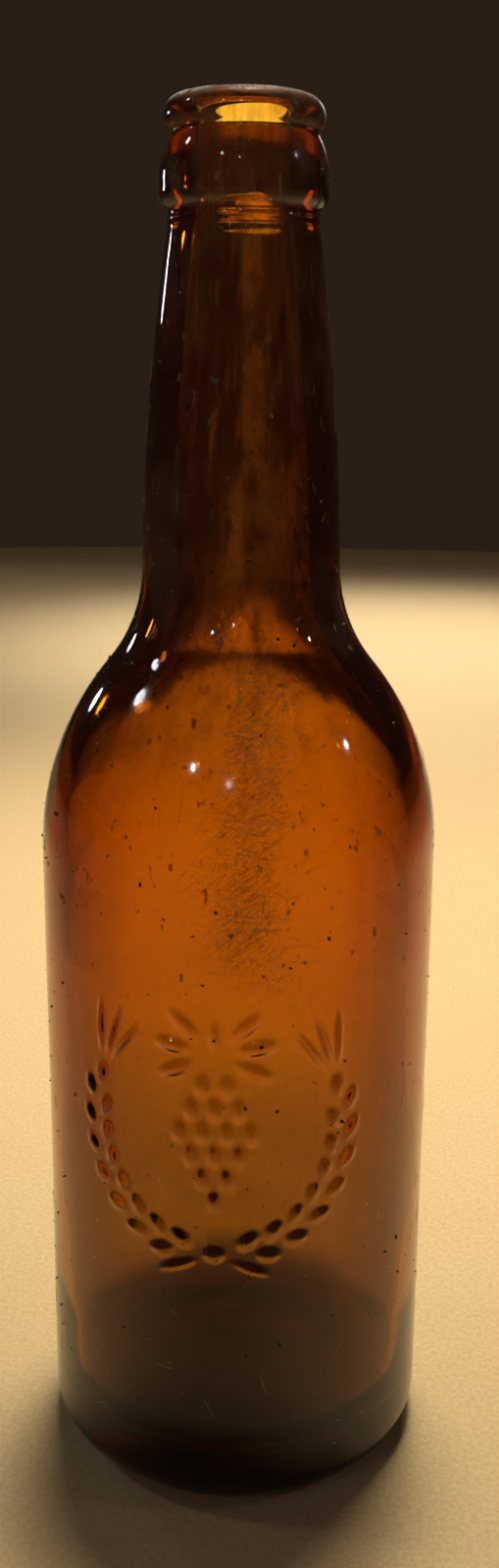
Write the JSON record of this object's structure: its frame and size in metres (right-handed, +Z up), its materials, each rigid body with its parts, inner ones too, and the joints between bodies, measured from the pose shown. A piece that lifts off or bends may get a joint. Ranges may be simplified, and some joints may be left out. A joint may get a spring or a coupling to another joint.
{
  "type": "beer bottle",
  "caption": "Empty amber glass beer bottle with a long neck, a crown-cap lip over a collar, and a raised hop and barley ornament on the front.",
  "frame": {"origin": "middle of the base, on the plane that the bottle stands on", "axes": "+Z up along the bottle's axis to the mouth; -Y is the front, with the raised ornament; +X is the viewer's right"},
  "size_m": [0.0716, 0.0725, 0.2446],
  "materials": {
    "amber_glass": "clear amber glass, glossy, lightly scuffed and stained inside"
  },
  "bodies": {
    "root": {"bottle_glass": "amber_glass"}
  },
  "joints": []
}
